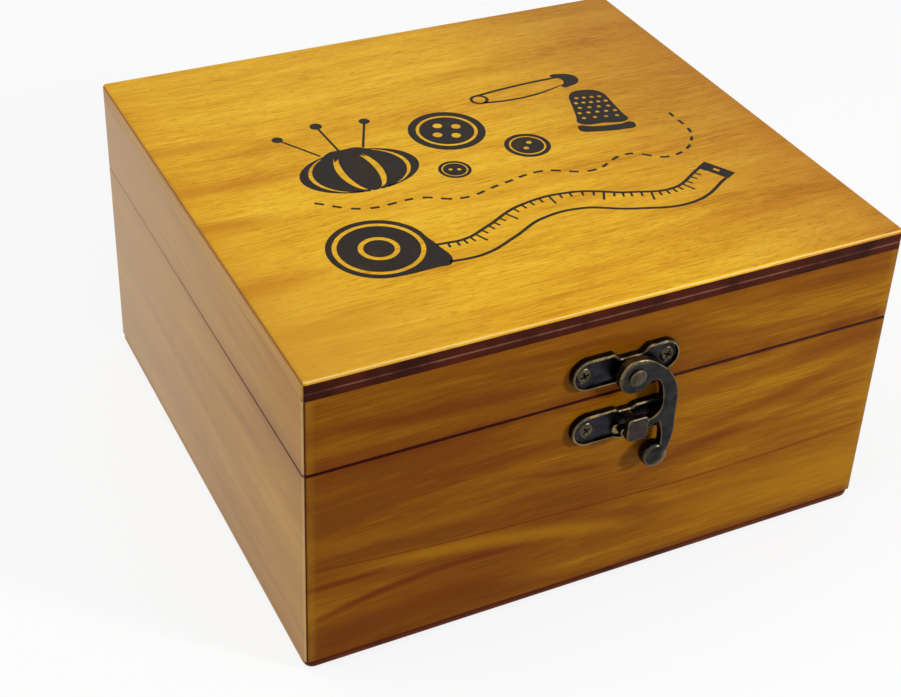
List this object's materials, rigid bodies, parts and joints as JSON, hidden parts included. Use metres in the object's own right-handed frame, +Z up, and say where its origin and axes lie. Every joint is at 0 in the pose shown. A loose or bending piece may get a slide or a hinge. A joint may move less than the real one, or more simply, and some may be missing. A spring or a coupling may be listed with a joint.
{
  "type": "sewing box",
  "caption": "Small varnished wooden sewing box with a hinged plywood lid and a swinging hook latch on the front.",
  "frame": {"origin": "centre of the underside", "axes": "+X to the right along the front, +Y from the front to the back, where the hinges are, +Z up"},
  "size_m": [0.1448, 0.1447, 0.0787],
  "materials": {
    "varnished_wood": "gloss amber varnish over pine-like wood",
    "varnished_plywood": "gloss amber varnish, dark stained edge",
    "antique_bronze": "darkened antique bronze with worn brassy rims"
  },
  "bodies": {
    "base": {"bottom_panel": "varnished_plywood", "base_front": "varnished_wood", "base_back": "varnished_wood", "base_left": "varnished_wood", "base_right": "varnished_wood", "catch_plate": "antique_bronze", "catch_stud": "antique_bronze", "catch_screws": "antique_bronze", "hinge_left_base_leaf": "antique_bronze", "hinge_right_base_leaf": "antique_bronze", "hinge_left_pin": "antique_bronze", "hinge_right_pin": "antique_bronze", "hinge_base_screws": "antique_bronze"},
    "lid": {"top_panel": "varnished_plywood", "lid_front": "varnished_wood", "lid_back": "varnished_wood", "lid_left": "varnished_wood", "lid_right": "varnished_wood", "latch_plate": "antique_bronze", "latch_rivet": "antique_bronze", "latch_screws": "antique_bronze", "hinge_left_lid_leaf": "antique_bronze", "hinge_right_lid_leaf": "antique_bronze", "hinge_lid_screws": "antique_bronze"},
    "hook": {"latch_hook": "antique_bronze"}
  },
  "joints": [
    {"name": "lid_hinge", "type": "hinge", "parent": "base", "child": "lid", "pos_m": [0, 0.0693, 0.055], "axis": [-1, 0, 0], "range_deg": [0, 180]},
    {"name": "hook_swing", "type": "hinge", "parent": "lid", "child": "hook", "pos_m": [0.0018, -0.0709, 0.0612], "axis": [0, -1, 0], "range_deg": [0, 180]}
  ]
}
